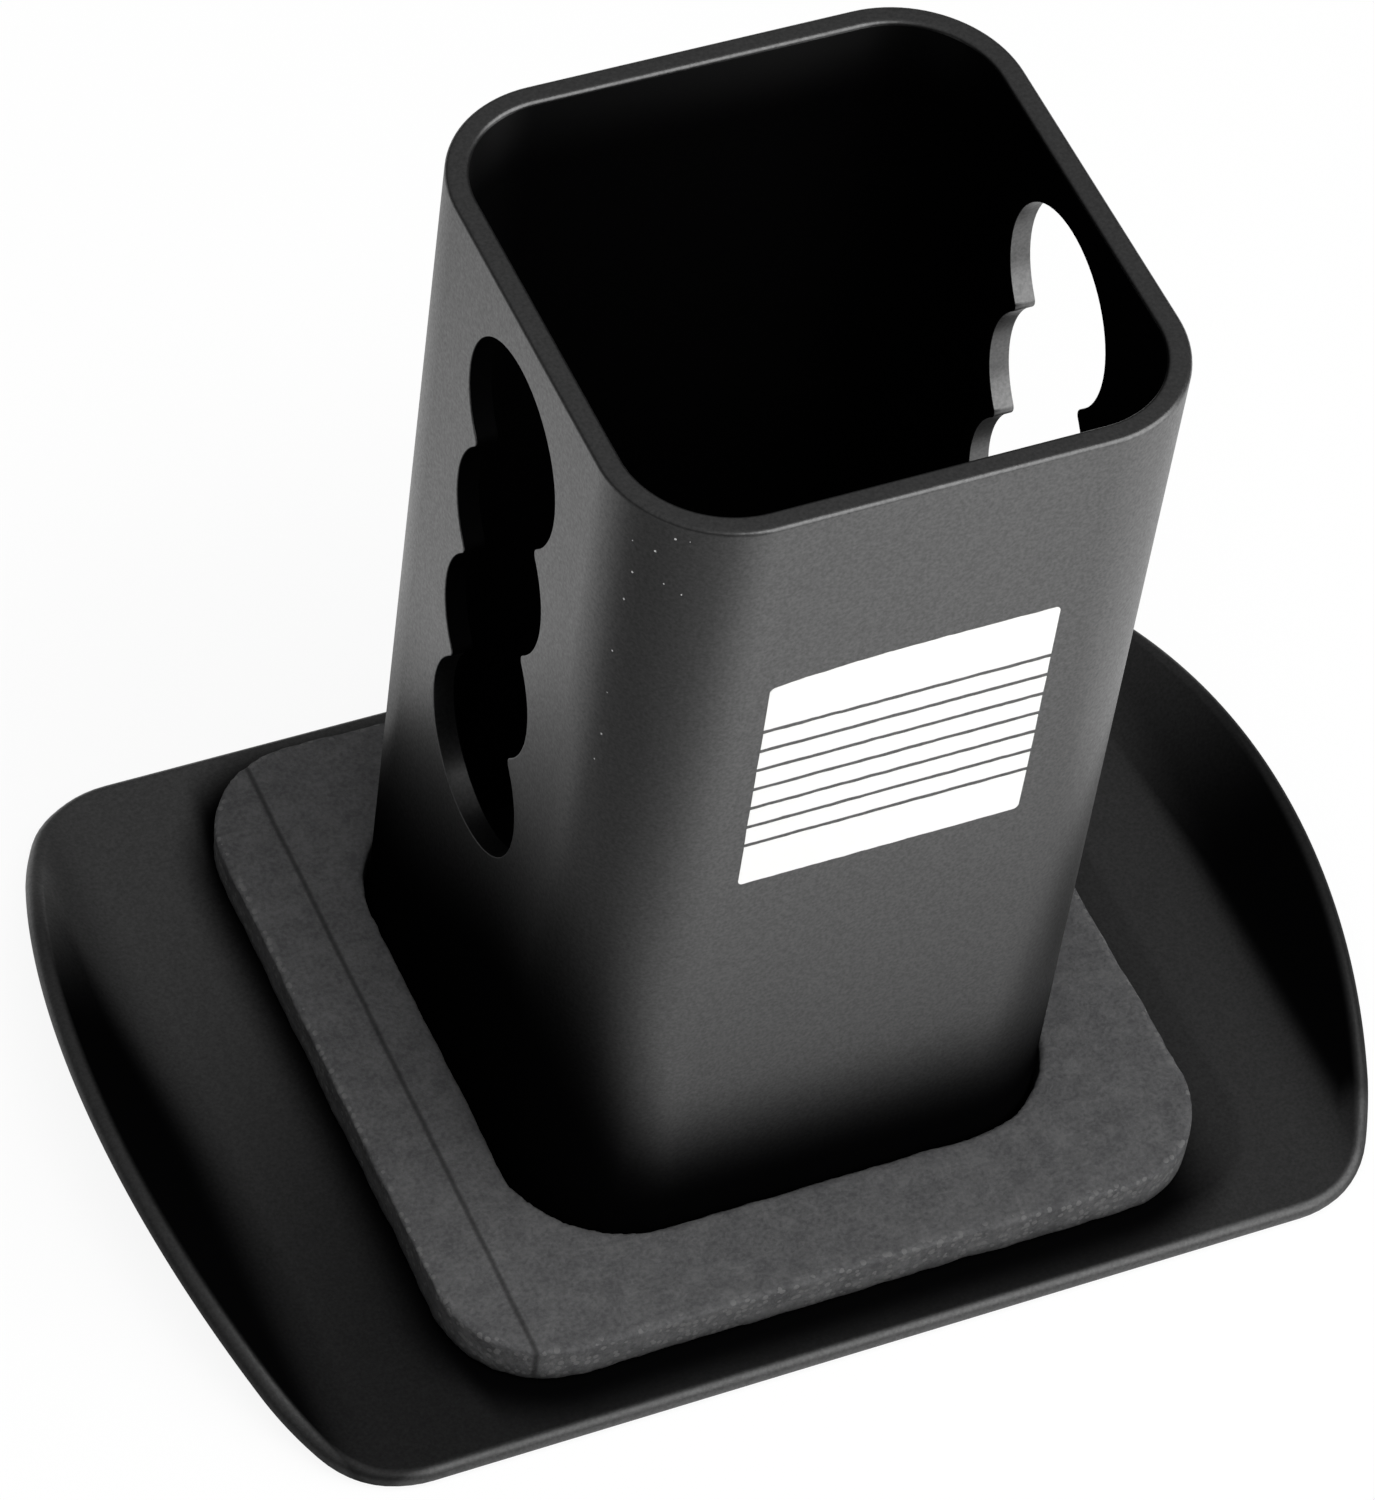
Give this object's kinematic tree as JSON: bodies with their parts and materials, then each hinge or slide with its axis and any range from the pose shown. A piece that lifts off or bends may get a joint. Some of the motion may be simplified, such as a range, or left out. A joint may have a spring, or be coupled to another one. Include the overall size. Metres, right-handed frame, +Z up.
{
  "type": "hitch receiver cover",
  "caption": "Square open shank with a column of through pin holes, a foam gasket round its foot and a cover plate with turned up, arched ends; plugs a tow hitch receiver.",
  "frame": {"origin": "middle of the cover plate's outer face, on which the part stands", "axes": "+Z up the shank, away from the plate; X along the plate's longer side, with the turned up ends; the pin holes run along X"},
  "size_m": [0.1174, 0.0804, 0.0972],
  "materials": {
    "coated_steel": "satin black powder coat",
    "foam": "matte closed cell foam"
  },
  "bodies": {
    "root": {"shank_tube": "coated_steel", "cover_plate": "coated_steel", "foam_gasket": "foam", "weld_bead": "coated_steel"}
  },
  "joints": []
}
